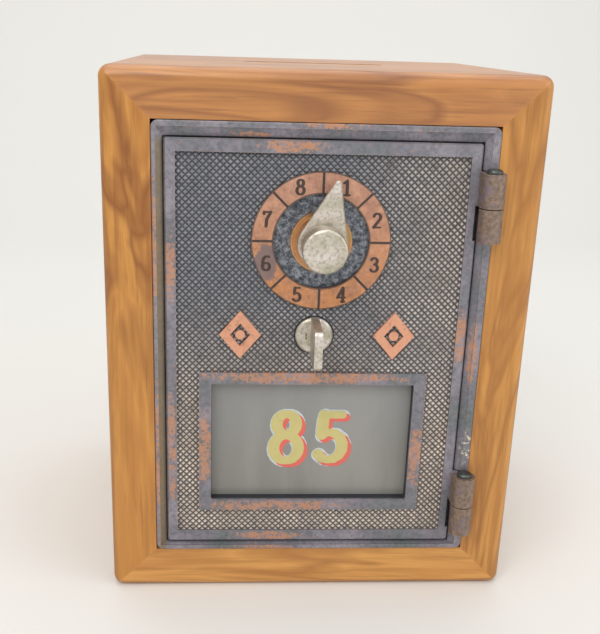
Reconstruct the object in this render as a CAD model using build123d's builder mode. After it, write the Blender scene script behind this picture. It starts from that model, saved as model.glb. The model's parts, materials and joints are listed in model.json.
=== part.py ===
from build123d import *

import os
from math import cos, radians, sin

# Combination-lock box: a mitred wooden case round a cast lock-box door in its frame.
# Millimetres. X is to the right of someone facing the door, Y runs into the box and Z is up.
# The origin is the centre of the case's bottom face.

# ---- case ----
case_width = 114.3
case_depth = 101.6
case_height = 147.2
board = 12.7
edge_round = 3.0
rabbet_width = 6.0
back_thickness = 6.0
back_inset = 0.4
back_clearance = 0.25
back_chamfer = 0.4
slot_length = 42.0
slot_width = 5.0

# ---- door frame ----
frame_gap = 0.2
frame_proud = 0.6
frame_depth = 16.0
frame_corner = 1.8
frame_chamfer = 0.25
rim_left = 1.05
rim_right = 2.05
rim_top = 1.4
rim_bottom = 1.4
rim_step = 0.4
bevel_side = 1.6
bevel_top = 2.4
bevel_bottom = 0.5
bevel_depth = 1.7
ledge_overlap = 1.7
ledge_thickness = 1.8
ledge_gap = 0.15

# ---- door ----
door_gap = 0.45
door_recess = 0.8
door_thickness = 3.2
door_chamfer = 0.4
door_corner = 0.8
window_corner = 0.6
field_depth = 1.1
door_rim_side = 2.8
door_rim_end = 3.4
dial_drop = 26.1
latch_drop = 25.8
latch_offset = -0.9
ring_outer = 18.3
ring_inner = 12.6
ornament_spread = 20.8
ornament_width = 11.2
ornament_height = 13.4
ornament_stroke = 2.9
ornament_boss = 1.3
window_offset = -0.5
bezel_margin = 6.6
bezel_border = 3.3
bezel_below_latch = 10.9

# ---- hinges ----
hinge_from_door = 2.5
barrel_seat = 0.3
barrel_radius = 3.1
hinge_length = 17.8
hinge_gap = 0.3
hinge_from_top = 7.0
hinge_from_bottom = 4.6
pin_radius = 1.2
pin_clearance = 0.04
pin_head_radius = 2.1
pin_head_height = 1.1
notch_clearance = 0.35
leaf_depth = 1.5
leaf_inset = 1.4
leaf_relief = 0.4
leaf_notch_depth = 2.4
edge_relief = 0.9
edge_relief_depth = 2.0

# ---- dial ----
dial_angle = 12.0
collar_radius = 8.1
collar_thickness = 1.2
collar_step_radius = 7.1
collar_step = 0.8
post_radius = 4.5
spindle_radius = 2.5
running_clearance = 0.05
pointer_radius = 6.4
pointer_hub_radius = 5.9
pointer_hub_height = 1.5
pointer_thickness = 1.8
pointer_reach = 17.0
pointer_tip_radius = 0.75
neck_radius = 4.9
neck_height = 1.5
knob_radius = 5.75
knob_height = 6.0
knob_round = 0.8
knob_dish = 0.25
knob_dish_border = 1.3
pointer_chamfer = 0.35
spindle_chamfer = 0.3

# ---- thumb turn, cam and bolt ----
turn_radius = 5.0
turn_thickness = 1.4
turn_chamfer = 0.5
blade_round = 1.4
mark_size = 1.8
mark_width = 0.5
mark_depth = 0.9
mark_offset = 1.9
blade_thickness = 2.1
blade_height = 10.6
blade_reach = 13.3
journal_radius = 3.0
square_shank = 3.2
cam_radius = 5.0
cam_thickness = 1.6
cam_pin_radius = 0.9
cam_pin_throw = 3.11
bolt_thickness = 2.4
bolt_height = 6.0
bolt_rest_gap = 1.2
bolt_round = 1.0
pin_side_clearance = 0.12
pin_end_clearance = 0.35
bolt_clearance = 0.2
yoke_half_width = 4.2
yoke_rise = 5.5
bolt_tail = 17.0

# ---- lock case ----
lock_side_margin = 7.0
lock_above_dial = 17.0
lock_below_latch = 9.5
lock_depth = 11.8
lock_wall = 1.6
lock_base = 1.2
lock_corner = 2.0
cover_screw_length = 6.0
boss_inset = 0.6
cover_thickness = 1.2
boss_radius = 2.2
small_screw_radius = 1.0
small_head_radius = 1.9
small_head_height = 1.0
guide_offset = 10.0

# ---- wheel pack ----
wheel_radius = 11.0
wheel_thickness = 1.4
wheel_gap = 1.0
wheel_start = 2.8
gate_width = 2.6
gate_depth = 2.6
drive_pin_radius = 0.8
drive_pin_orbit = 7.3
drive_pin_length = 0.8
drive_pin_lag = 13.0
gate_angles = (200.0, 75.0, 320.0)
spacer_radius = 6.0
spacer_thickness = 0.8
clip_radius = 5.8
clip_thickness = 0.4
clip_opening = 3.0
post_overrun = 0.2
post_nut_radius = 6.8
post_nut_thickness = 1.2
spindle_nut_radius = 3.4
spindle_nut_thickness = 1.6
spindle_overrun = 0.4
lever_gap = 0.6

# ---- fence lever ----
pivot_right = 21.0
pivot_drop = 6.0
pivot_radius = 1.6
lever_hub_radius = 3.0
lever_hub_height = 2.4
lever_thickness = 1.4
lever_arm_width = 3.6
fence_angle = 40.0
fence_size = 2.2
fence_clearance = 0.35
dog_offset = 8.7
dog_width = 2.2
dog_height = 2.2
dog_clearance = 0.5

# ---- leaf spring ----
spring_thickness = 0.5
spring_width = 3.0
spring_clearance = 0.3
lug_width = 3.0
lug_height = 6.0
lug_gap = 2.4
lug_lift = 1.5

# ---- window ----
glass_overlap = 2.2
glass_thickness = 2.2
glass_clearance = 0.3
retainer_border = 3.9
retainer_wall = 1.1
ear_length = 4.4
ear_height = 7.0
ear_thickness = 1.2
blind_hole = 1.4

# ---- wood screws ----
wood_screw_radius = 1.4
wood_screw_head = 2.4
wood_screw_head_height = 1.5
wood_screw_length = 10.0
frame_screw_inset = 11.5
frame_screw_heights = (27.0, 88.0)
back_screw_spread = 30.0

# ---- levels and places worked out from the sizes above ----
opening_width = case_width - 2 * board
opening_height = case_height - 2 * board
front_y = -case_depth / 2
back_y = case_depth / 2
panel_back = back_y - back_inset
panel_front = panel_back - back_thickness

frame_right = opening_width / 2 - frame_gap
frame_left = -frame_right
frame_bottom = board + frame_gap
frame_top = case_height - board - frame_gap
frame_front = front_y - frame_proud
frame_back = front_y + frame_depth

mouth_left = frame_left + rim_left + bevel_side
mouth_right = frame_right - rim_right - bevel_side
mouth_bottom = frame_bottom + rim_bottom + bevel_bottom
mouth_top = frame_top - rim_top - bevel_top

door_left = mouth_left + door_gap
door_right = mouth_right - door_gap
door_bottom = mouth_bottom + door_gap
door_top = mouth_top - door_gap
door_front = frame_front + door_recess
door_back = door_front + door_thickness
field_floor = door_front + field_depth
field_left = door_left + door_rim_side
field_right = door_right - door_rim_side
field_bottom = door_bottom + door_rim_end
field_top = door_top - door_rim_end
ledge_front = door_back + ledge_gap
ledge_back = ledge_front + ledge_thickness

dial_x = (door_left + door_right) / 2
dial_z = door_top - dial_drop
latch_x = dial_x + latch_offset
latch_z = dial_z - latch_drop

bezel_left = field_left + bezel_margin + window_offset
bezel_right = field_right - bezel_margin + window_offset
bezel_bottom = field_bottom + bezel_margin
bezel_top = latch_z - bezel_below_latch
window_left = bezel_left + bezel_border
window_right = bezel_right - bezel_border
window_bottom = bezel_bottom + bezel_border
window_top = bezel_top - bezel_border

hinge_x = door_right + hinge_from_door
hinge_y = front_y - barrel_radius + barrel_seat
knuckle_length = (hinge_length - hinge_gap) / 2
hinge_bottoms = (door_bottom + hinge_from_bottom, door_top - hinge_from_top - hinge_length)

lock_left = door_left + lock_side_margin
lock_right = door_right - lock_side_margin
lock_bottom = latch_z - lock_below_latch
lock_top = dial_z + lock_above_dial
lock_back = door_back + lock_depth
base_back = door_back + lock_base
boss_offset = lock_wall + boss_radius - boss_inset

cam_front = base_back + running_clearance * 3
cam_back = cam_front + cam_thickness
bolt_front = cam_back + bolt_clearance
bolt_back = bolt_front + bolt_thickness
bolt_tip = mouth_left + ledge_overlap + bolt_rest_gap
pin_rest = cam_pin_throw * sin(radians(45))
bolt_throw = 2 * pin_rest

wheel_fronts = [door_back + wheel_start + i * (wheel_thickness + wheel_gap) for i in range(3)]
post_end = wheel_fronts[1] + wheel_thickness + 2 * running_clearance + clip_thickness + post_overrun
spindle_end = wheel_fronts[2] + wheel_thickness + spindle_nut_thickness + spindle_overrun

pivot_x = dial_x + pivot_right
pivot_z = dial_z - pivot_drop
lever_front = wheel_fronts[2] + wheel_thickness + lever_gap
lever_back = lever_front + lever_thickness
fence_orbit = wheel_radius + fence_clearance + fence_size / 2
fence_x = dial_x + fence_orbit * cos(radians(fence_angle))
fence_z = dial_z + fence_orbit * sin(radians(fence_angle))
dog_x = latch_x + dog_offset
dog_z = latch_z + yoke_rise + dog_clearance + dog_height / 2

spring_x = latch_x + bolt_tail + spring_clearance + spring_thickness / 2
lug_left = spring_x + lug_gap
lug_bottom = latch_z + yoke_rise + lug_lift

ear_rows = (window_bottom + ear_height / 2, window_top - ear_height / 2)


def facing(y):
    """Sketch plane at depth y, with its normal towards the front."""
    return Plane.XZ.offset(-y)


def block(x_span, y_span, z_span, mode=Mode.ADD):
    """Box between two values on each axis."""
    spans = (x_span, y_span, z_span)
    with Locations(tuple((low + high) / 2 for low, high in spans)):
        Box(*(high - low for low, high in spans), mode=mode)


def rod(x, z, radius, y_span, mode=Mode.ADD):
    """Cylinder along Y between two depths."""
    with Locations((x, (y_span[0] + y_span[1]) / 2, z)):
        Cylinder(radius, y_span[1] - y_span[0], rotation=(90, 0, 0), mode=mode)


def rectangle_between(left, right, bottom, top, mode=Mode.ADD):
    """Rectangle given by its four edges."""
    with Locations(((left + right) / 2, (bottom + top) / 2)):
        Rectangle(right - left, top - bottom, mode=mode)


def around_dial(radius, angle):
    """Point (x, z) at a radius and an angle about the dial's axis."""
    return dial_x + radius * cos(radians(angle)), dial_z + radius * sin(radians(angle))


def save(piece, name):
    """Label a finished piece and write its STEP file."""
    piece.part.label = name
    export_step(piece.part, f"parts/{name}.step")


os.makedirs("parts", exist_ok=True)

frame_screw_spots = [
    (side, frame_bottom + height) for side in (-1, 1) for height in frame_screw_heights
]
back_screw_spots = [
    (x, z)
    for x in (-back_screw_spread, back_screw_spread)
    for z in (board - rabbet_width / 2, case_height - board + rabbet_width / 2)
] + [(side * (opening_width + rabbet_width) / 2, case_height / 2) for side in (-1, 1)]
cover_screw_spots = [
    (x, z)
    for x in (lock_left + boss_offset, lock_right - boss_offset)
    for z in (lock_bottom + boss_offset, lock_top - boss_offset)
]
mount_screw_spots = [
    (lock_left + 7.5, lock_top - 6.0),
    (lock_right - 7.5, lock_top - 6.0),
    (lock_left + 8.0, lock_bottom + 4.0),
    (lock_right - 8.0, lock_bottom + 4.0),
]
ear_screw_spots = [
    (x, z)
    for x in (
        window_left - retainer_border - ear_length / 2,
        window_right + retainer_border + ear_length / 2,
    )
    for z in ear_rows
]

# ==== wooden case: one rounded ring, cut along the mitres into four boards ====
with BuildPart() as case_ring:
    block((-case_width / 2, case_width / 2), (front_y, back_y), (0, case_height))
    fillet(case_ring.edges(), radius=edge_round)
    block(
        (-opening_width / 2, opening_width / 2),
        (front_y - 1, back_y + 1),
        (board, case_height - board),
        mode=Mode.SUBTRACT,
    )
    block(
        (-opening_width / 2 - rabbet_width, opening_width / 2 + rabbet_width),
        (panel_front, back_y + 1),
        (board - rabbet_width, case_height - board + rabbet_width),
        mode=Mode.SUBTRACT,
    )
    with Locations((0, 0, case_height - board / 2)):
        Box(slot_length - slot_width, slot_width, board + 2, mode=Mode.SUBTRACT)
        with Locations((-(slot_length - slot_width) / 2, 0), ((slot_length - slot_width) / 2, 0)):
            Cylinder(slot_width / 2, board + 2, mode=Mode.SUBTRACT)
    for side, z in frame_screw_spots:
        reach = wood_screw_length - (mouth_left - frame_left if side < 0 else frame_right - mouth_right)
        start = side * opening_width / 2
        end = side * (frame_right + reach + 0.5)
        with Locations(((start + end) / 2, front_y + frame_screw_inset, z)):
            Cylinder(
                wood_screw_radius + pin_clearance,
                abs(end - start),
                rotation=(0, 90, 0),
                mode=Mode.SUBTRACT,
            )
    for x, z in back_screw_spots:
        rod(
            x,
            z,
            wood_screw_radius + pin_clearance,
            (panel_back - wood_screw_length - 0.5, panel_front),
            mode=Mode.SUBTRACT,
        )

outer_corners = [
    (-case_width / 2, 0),
    (case_width / 2, 0),
    (case_width / 2, case_height),
    (-case_width / 2, case_height),
]
inner_corners = [
    (-case_width / 2 + board, board),
    (case_width / 2 - board, board),
    (case_width / 2 - board, case_height - board),
    (-case_width / 2 + board, case_height - board),
]
for i, board_name in enumerate(("bottom_board", "right_board", "top_board", "left_board")):
    j = (i + 1) % 4
    with BuildPart() as case_board:
        add(case_ring.part)
        with BuildSketch(Plane.XZ):
            Polygon(outer_corners[i], outer_corners[j], inner_corners[j], inner_corners[i], align=None)
        extrude(amount=case_depth, both=True, mode=Mode.INTERSECT)
    save(case_board, board_name)

with BuildPart() as back_panel:
    half_width = opening_width / 2 + rabbet_width - back_clearance
    block(
        (-half_width, half_width),
        (panel_front, panel_back),
        (
            board - rabbet_width + back_clearance,
            case_height - board + rabbet_width - back_clearance,
        ),
    )
    chamfer(back_panel.faces().sort_by(Axis.Y)[-1].edges(), length=back_chamfer)
    for x, z in back_screw_spots:
        rod(
            x,
            z,
            wood_screw_radius + pin_clearance,
            (panel_front - 1, panel_back + 1),
            mode=Mode.SUBTRACT,
        )
        with Locations((x, panel_back - wood_screw_head_height / 2, z)):
            Cone(
                wood_screw_head,
                wood_screw_radius + pin_clearance,
                wood_screw_head_height,
                rotation=(90, 0, 0),
                mode=Mode.SUBTRACT,
            )
save(back_panel, "back_panel")


def wood_screw(turn):
    """Countersunk slotted screw at the current location, head outwards along the turned +Z."""
    with Locations(Location((0, 0, 0), turn)):
        with Locations((0, 0, -wood_screw_head_height / 2)):
            Cone(wood_screw_radius, wood_screw_head - 0.05, wood_screw_head_height)
        with Locations((0, 0, -(wood_screw_head_height + wood_screw_length) / 2)):
            Cylinder(wood_screw_radius, wood_screw_length - wood_screw_head_height)
        Box(2 * wood_screw_head, 0.6, 1.2, mode=Mode.SUBTRACT)


with BuildPart() as back_screws:
    for x, z in back_screw_spots:
        with Locations((x, panel_back, z)):
            wood_screw((-90, 0, 0))
save(back_screws, "back_screws")

# ==== cast door frame ====
with BuildPart() as door_frame:
    block((frame_left, frame_right), (frame_front, frame_back), (frame_bottom, frame_top))
    fillet(door_frame.edges().filter_by(Axis.Y), radius=frame_corner)
    chamfer(door_frame.faces().sort_by(Axis.Y)[0].edges(), length=frame_chamfer)
    block(
        (mouth_left, mouth_right),
        (frame_front - 1, ledge_front),
        (mouth_bottom, mouth_top),
        mode=Mode.SUBTRACT,
    )
    block(
        (mouth_left, mouth_right),
        (ledge_back, frame_back + 1),
        (mouth_bottom, mouth_top),
        mode=Mode.SUBTRACT,
    )
    block(
        (mouth_left + ledge_overlap, mouth_right - ledge_overlap),
        (frame_front, frame_back),
        (mouth_bottom + ledge_overlap, mouth_top - ledge_overlap),
        mode=Mode.SUBTRACT,
    )
    block(
        (frame_left + rim_left, frame_right - rim_right),
        (frame_front - 1, frame_front + rim_step),
        (frame_bottom + rim_bottom, frame_top - rim_top),
        mode=Mode.SUBTRACT,
    )
    with BuildSketch(facing(frame_front + rim_step)):
        rectangle_between(
            frame_left + rim_left,
            frame_right - rim_right,
            frame_bottom + rim_bottom,
            frame_top - rim_top,
        )
    with BuildSketch(facing(frame_front + bevel_depth)):
        rectangle_between(mouth_left, mouth_right, mouth_bottom, mouth_top)
    loft(mode=Mode.SUBTRACT)
    # slot in the left jamb that the bolt's tip enters
    block(
        (frame_left - 1, mouth_left + 0.01),
        (bolt_front - 2 * bolt_clearance, bolt_back + 2 * bolt_clearance),
        (
            latch_z - bolt_height / 2 - 2 * bolt_clearance,
            latch_z + bolt_height / 2 + 2 * bolt_clearance,
        ),
        mode=Mode.SUBTRACT,
    )
    for side, z in frame_screw_spots:
        jamb_face = mouth_left if side < 0 else mouth_right
        with Locations((jamb_face + side * 2, front_y + frame_screw_inset, z)):
            Cylinder(
                wood_screw_radius + pin_clearance, 6, rotation=(0, 90, 0), mode=Mode.SUBTRACT
            )
        with Locations(
            (
                jamb_face + side * wood_screw_head_height / 2,
                front_y + frame_screw_inset,
                z,
            )
        ):
            Cone(
                wood_screw_radius + pin_clearance,
                wood_screw_head,
                wood_screw_head_height,
                rotation=(0, -side * 90, 0),
                mode=Mode.SUBTRACT,
            )
    for bottom in hinge_bottoms:
        door_span = (bottom + knuckle_length, bottom + hinge_length + hinge_gap)
        # room for the door's knuckle, its leaf and the pin's head
        with Locations((hinge_x, hinge_y, (door_span[0] + door_span[1]) / 2)):
            Cylinder(
                barrel_radius + notch_clearance, door_span[1] - door_span[0], mode=Mode.SUBTRACT
            )
        block(
            (mouth_right - 0.01, hinge_x - 0.2),
            (frame_front - 1, door_front + leaf_notch_depth),
            door_span,
            mode=Mode.SUBTRACT,
        )
        with Locations((hinge_x, hinge_y, bottom + hinge_length + pin_head_height)):
            Cylinder(pin_head_radius + 0.3, 2 * pin_head_height + 0.6, mode=Mode.SUBTRACT)
    for bottom in hinge_bottoms:
        with Locations((hinge_x, hinge_y, bottom + knuckle_length / 2)):
            Cylinder(barrel_radius, knuckle_length)
        block(
            (hinge_x - leaf_inset, frame_right - barrel_seat),
            (hinge_y, frame_front + leaf_depth),
            (bottom, bottom + knuckle_length),
        )
        with Locations((hinge_x, hinge_y, bottom + knuckle_length / 2)):
            Cylinder(pin_radius + pin_clearance, knuckle_length + 2, mode=Mode.SUBTRACT)
save(door_frame, "door_frame")

with BuildPart() as frame_screws:
    for side, z in frame_screw_spots:
        jamb_face = mouth_left if side < 0 else mouth_right
        with Locations((jamb_face, front_y + frame_screw_inset, z)):
            wood_screw((0, -side * 90, 0))
save(frame_screws, "frame_screws")

# ==== door ====
with BuildPart() as door_plate:
    block((door_left, door_right), (door_front, door_back), (door_bottom, door_top))
    fillet(door_plate.edges().filter_by(Axis.Y), radius=door_corner)
    chamfer(door_plate.faces().sort_by(Axis.Y)[0].edges(), length=door_chamfer)
    with BuildSketch(facing(door_front)):
        rectangle_between(field_left, field_right, field_bottom, field_top)
        rectangle_between(bezel_left, bezel_right, bezel_bottom, bezel_top, mode=Mode.SUBTRACT)
        with Locations((dial_x, dial_z)):
            Circle(ring_outer, mode=Mode.SUBTRACT)
            Circle(ring_inner)
        for side in (-1, 1):
            with Locations((dial_x + side * ornament_spread, latch_z)):
                for inset, mode in ((0, Mode.SUBTRACT), (ornament_stroke, Mode.ADD)):
                    half_x = ornament_width / 2 - inset
                    half_z = (ornament_height / 2) * half_x / (ornament_width / 2)
                    Polygon(
                        (half_x, 0),
                        (0, half_z),
                        (-half_x, 0),
                        (0, -half_z),
                        align=None,
                        mode=mode,
                    )
                Circle(ornament_boss, mode=Mode.SUBTRACT)
    extrude(amount=-field_depth, mode=Mode.SUBTRACT)
    with BuildSketch(facing(door_front)):
        rectangle_between(window_left, window_right, window_bottom, window_top)
        fillet(vertices(), radius=window_corner)
    extrude(amount=-door_thickness, mode=Mode.SUBTRACT)
    rod(
        dial_x,
        dial_z,
        post_radius + running_clearance,
        (door_front - 1, door_back + 1),
        mode=Mode.SUBTRACT,
    )
    rod(
        latch_x,
        latch_z,
        journal_radius + running_clearance,
        (door_front - 1, door_back + 1),
        mode=Mode.SUBTRACT,
    )
    for x, z in mount_screw_spots + ear_screw_spots:
        rod(x, z, small_screw_radius, (door_back - blind_hole, door_back + 1), mode=Mode.SUBTRACT)
    for bottom in hinge_bottoms:
        span = (bottom + knuckle_length + hinge_gap, bottom + hinge_length)
        middle = (span[0] + span[1]) / 2
        # relief in the door's edge beside the frame's knuckle
        block(
            (door_right - edge_relief, door_right + 1),
            (door_front - 1, door_front + edge_relief_depth),
            (bottom - leaf_relief, bottom + knuckle_length + hinge_gap),
            mode=Mode.SUBTRACT,
        )
        with Locations((hinge_x, hinge_y, middle)):
            Cylinder(barrel_radius, span[1] - span[0])
        block((hinge_x - barrel_radius, hinge_x), (hinge_y, hinge_y + barrel_radius - leaf_relief), span)
        block((hinge_x - barrel_radius, hinge_x - 1.2), (hinge_y, door_front + edge_relief_depth), span)
        with Locations((hinge_x, hinge_y, middle)):
            Cylinder(pin_radius + pin_clearance, hinge_length, mode=Mode.SUBTRACT)
save(door_plate, "door_plate")

for pin_name, bottom in zip(("hinge_pin_lower", "hinge_pin_upper"), hinge_bottoms):
    with BuildPart() as hinge_pin:
        with Locations((hinge_x, hinge_y, bottom + hinge_length / 2)):
            Cylinder(pin_radius, hinge_length)
        with Locations((hinge_x, hinge_y, bottom + hinge_length + 0.05 + pin_head_height / 2)):
            Cylinder(pin_head_radius, pin_head_height)
        with Locations((hinge_x, hinge_y, bottom + hinge_length)):
            Cylinder(pin_radius, 0.4)
        fillet(hinge_pin.edges().group_by(Axis.Z)[-1], radius=pin_head_height * 0.8)
    save(hinge_pin, pin_name)

# ==== window ====
with BuildPart() as window_glass:
    block(
        (window_left - glass_overlap, window_right + glass_overlap),
        (door_back, door_back + glass_thickness),
        (window_bottom - glass_overlap, window_top + glass_overlap),
    )
save(window_glass, "window_glass")

with BuildPart() as glass_retainer:
    pocket = glass_overlap + glass_clearance
    block(
        (window_left - retainer_border, window_right + retainer_border),
        (door_back, door_back + glass_thickness + retainer_wall),
        (window_bottom - retainer_border, window_top + retainer_border),
    )
    fillet(glass_retainer.edges().filter_by(Axis.Y), radius=1.2)
    for x, z in ear_screw_spots:
        block(
            (x - ear_length / 2 - 0.6, x + ear_length / 2 + 0.6),
            (door_back, door_back + ear_thickness),
            (z - ear_height / 2, z + ear_height / 2),
        )
    block(
        (window_left - pocket, window_right + pocket),
        (door_back - 1, door_back + glass_thickness + 0.1),
        (window_bottom - pocket, window_top + pocket),
        mode=Mode.SUBTRACT,
    )
    block(
        (window_left, window_right),
        (door_back - 1, lock_back),
        (window_bottom, window_top),
        mode=Mode.SUBTRACT,
    )
    for x, z in ear_screw_spots:
        rod(
            x,
            z,
            small_screw_radius + pin_clearance,
            (door_back - 1, door_back + ear_thickness + 1),
            mode=Mode.SUBTRACT,
        )
save(glass_retainer, "glass_retainer")


def small_screws(spots, seat, length):
    """Pan-head slotted screws whose heads sit at the seat depth, shanks towards the front."""
    with BuildPart() as screws:
        for x, z in spots:
            rod(x, z, small_screw_radius, (seat - length, seat))
            rod(x, z, small_head_radius, (seat, seat + small_head_height))
            block(
                (x - 2 * small_head_radius, x + 2 * small_head_radius),
                (seat + small_head_height - 0.4, seat + small_head_height + 1),
                (z - 0.25, z + 0.25),
                mode=Mode.SUBTRACT,
            )
    return screws


save(
    small_screws(ear_screw_spots, door_back + ear_thickness, ear_thickness + blind_hole - 0.1),
    "retainer_screws",
)

# ==== dial bushing, spindle and pointer knob ====
with BuildPart() as dial_bushing:
    rod(dial_x, dial_z, post_radius, (field_floor - 0.5, post_end))
    rod(dial_x, dial_z, collar_radius, (field_floor - collar_thickness, field_floor))
    rod(
        dial_x,
        dial_z,
        collar_step_radius,
        (field_floor - collar_thickness - collar_step, field_floor - collar_thickness),
    )
    rod(
        dial_x,
        dial_z,
        spindle_radius + running_clearance,
        (front_y - 10, post_end + 1),
        mode=Mode.SUBTRACT,
    )
save(dial_bushing, "dial_bushing")

with BuildPart() as bushing_nut:
    with BuildSketch(facing(base_back)):
        with Locations((dial_x, dial_z)):
            RegularPolygon(post_nut_radius, 6)
            Circle(post_radius, mode=Mode.SUBTRACT)
    extrude(amount=-post_nut_thickness)
save(bushing_nut, "bushing_nut")

collar_front = field_floor - collar_thickness - collar_step
hub_back = collar_front - 2 * running_clearance
plate_back = hub_back - pointer_hub_height
plate_front = plate_back - pointer_thickness
knob_back = plate_front - neck_height
knob_front = knob_back - knob_height

with BuildPart() as pointer_knob:
    tip_reach = pointer_reach - pointer_tip_radius
    tip_x, tip_z = around_dial(tip_reach, 90 - dial_angle)
    with BuildSketch(facing(plate_back)):
        with Locations((dial_x, dial_z)):
            Circle(pointer_radius)
        with Locations((tip_x, tip_z)):
            Circle(pointer_tip_radius)
        make_hull()
    extrude(amount=pointer_thickness)
    chamfer(pointer_knob.faces().sort_by(Axis.Y)[0].edges(), length=pointer_chamfer)
    rod(dial_x, dial_z, pointer_hub_radius, (plate_back, hub_back))
    rod(dial_x, dial_z, neck_radius, (knob_back - 0.2, plate_front + 0.2))
    with BuildSketch(Plane((dial_x, 0, dial_z), x_dir=(1, 0, 0), z_dir=(0, 0, 1))):
        Polygon(
            (0, knob_back),
            (knob_radius, knob_back),
            (knob_radius, knob_front),
            (0, knob_front),
            align=None,
        )
        fillet(vertices().group_by(Axis.X)[-1], radius=knob_round)
    revolve(axis=Axis((dial_x, 0, dial_z), (0, 1, 0)))
    rod(
        dial_x,
        dial_z,
        knob_radius - knob_dish_border,
        (knob_front - 1, knob_front + knob_dish),
        mode=Mode.SUBTRACT,
    )
    rod(dial_x, dial_z, spindle_radius, (knob_back + 0.5, hub_back + 1), mode=Mode.SUBTRACT)
save(pointer_knob, "pointer_knob")

with BuildPart() as dial_spindle:
    rod(dial_x, dial_z, spindle_radius, (knob_back + 0.5, spindle_end))
    chamfer(dial_spindle.faces().sort_by(Axis.Y)[-1].edges(), length=spindle_chamfer)
save(dial_spindle, "dial_spindle")

# ==== thumb turn and cam ====
turn_back = field_floor - 4 * running_clearance
turn_front = turn_back - turn_thickness
with BuildPart() as thumb_turn:
    rod(latch_x, latch_z, turn_radius, (turn_front, turn_back))
    chamfer(thumb_turn.faces().sort_by(Axis.Y)[0].edges(), length=turn_chamfer)
    with BuildSketch(Plane.YZ.offset(latch_x)):
        rectangle_between(
            front_y - blade_reach,
            turn_front + 0.5,
            latch_z - blade_height / 2,
            latch_z + blade_height / 2,
        )
        fillet(vertices().group_by(Axis.X)[0], radius=blade_round)
    extrude(amount=blade_thickness / 2, both=True)
    rod(latch_x, latch_z, journal_radius, (turn_back, cam_front))
    block(
        (latch_x - square_shank / 2, latch_x + square_shank / 2),
        (cam_front, cam_back),
        (latch_z - square_shank / 2, latch_z + square_shank / 2),
    )
    block(
        (latch_x - mark_offset - mark_width, latch_x - mark_offset),
        (turn_front - 1, turn_front + mark_depth),
        (latch_z - mark_size / 2, latch_z + mark_size / 2),
        mode=Mode.SUBTRACT,
    )
save(thumb_turn, "thumb_turn")

with BuildPart() as latch_cam:
    rod(latch_x, latch_z, cam_radius, (cam_front, cam_back))
    rod(latch_x + pin_rest, latch_z + pin_rest, cam_pin_radius, (cam_back, bolt_back))
    block(
        (latch_x - square_shank / 2, latch_x + square_shank / 2),
        (cam_front - 1, cam_back + 1),
        (latch_z - square_shank / 2, latch_z + square_shank / 2),
        mode=Mode.SUBTRACT,
    )
save(latch_cam, "latch_cam")

with BuildPart() as latch_bolt:
    block(
        (bolt_tip, latch_x + bolt_tail),
        (bolt_front, bolt_back),
        (latch_z - bolt_height / 2, latch_z + bolt_height / 2),
    )
    block(
        (latch_x + pin_rest - yoke_half_width, latch_x + pin_rest + yoke_half_width),
        (bolt_front, bolt_back),
        (latch_z - bolt_height / 2, latch_z + yoke_rise),
    )
    with BuildSketch(facing(bolt_front)):
        slot_bottom = pin_rest - cam_pin_radius - pin_end_clearance
        slot_top = cam_pin_throw + cam_pin_radius + pin_end_clearance
        rectangle_between(
            latch_x + pin_rest - cam_pin_radius - pin_side_clearance,
            latch_x + pin_rest + cam_pin_radius + pin_side_clearance,
            latch_z + slot_bottom,
            latch_z + slot_top,
        )
    extrude(amount=-bolt_thickness, mode=Mode.SUBTRACT)
    fillet(
        latch_bolt.edges().filter_by(Axis.Y).group_by(Axis.X)[0],
        radius=bolt_round,
    )
save(latch_bolt, "latch_bolt")

# ==== lock case ====
with BuildPart() as lock_case:
    block((lock_left, lock_right), (door_back, lock_back), (lock_bottom, lock_top))
    fillet(lock_case.edges().filter_by(Axis.Y), radius=lock_corner)
    block(
        (lock_left + lock_wall, lock_right - lock_wall),
        (base_back, lock_back + 1),
        (lock_bottom + lock_wall, lock_top - lock_wall),
        mode=Mode.SUBTRACT,
    )
    for x, z in cover_screw_spots:
        rod(x, z, boss_radius, (base_back - 0.5, lock_back))
    guide_left = latch_x + guide_offset
    block(
        (guide_left, guide_left + lock_wall),
        (base_back - 0.5, bolt_back + 2.5),
        (lock_bottom + 0.5, latch_z + bolt_height / 2 + 3),
    )
    # slotted lug that holds the leaf spring
    block(
        (lug_left, lug_left + lug_width),
        (base_back - 0.5, bolt_back + 1.0),
        (lug_bottom, lug_bottom + lug_height),
    )
    block(
        (
            lug_left + lug_width / 2 - spring_thickness / 2,
            lug_left + lug_width / 2 + spring_thickness / 2,
        ),
        (bolt_front, lock_back),
        (lug_bottom - 1, lug_bottom + lug_height + 1),
        mode=Mode.SUBTRACT,
    )
    for wall_span in (
        (lock_left - 1, lock_left + lock_wall + 1),
        (guide_left - 1, guide_left + lock_wall + 1),
    ):
        block(
            wall_span,
            (bolt_front - bolt_clearance, bolt_back + bolt_clearance),
            (
                latch_z - bolt_height / 2 - bolt_clearance,
                latch_z + bolt_height / 2 + bolt_clearance,
            ),
            mode=Mode.SUBTRACT,
        )
    for x, z in cover_screw_spots:
        rod(x, z, small_screw_radius, (lock_back - cover_screw_length, lock_back + 1), mode=Mode.SUBTRACT)
    for x, z in mount_screw_spots:
        rod(
            x,
            z,
            small_screw_radius + pin_clearance,
            (door_back - 1, base_back + 1),
            mode=Mode.SUBTRACT,
        )
    for x, z, radius in (
        (dial_x, dial_z, post_radius + running_clearance),
        (latch_x, latch_z, journal_radius + 2 * running_clearance),
        (pivot_x, pivot_z, pivot_radius),
    ):
        rod(x, z, radius, (door_back - 1, base_back + 0.2), mode=Mode.SUBTRACT)
save(lock_case, "lock_case")

save(small_screws(mount_screw_spots, base_back, lock_base + blind_hole - 0.1), "mount_screws")

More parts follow.
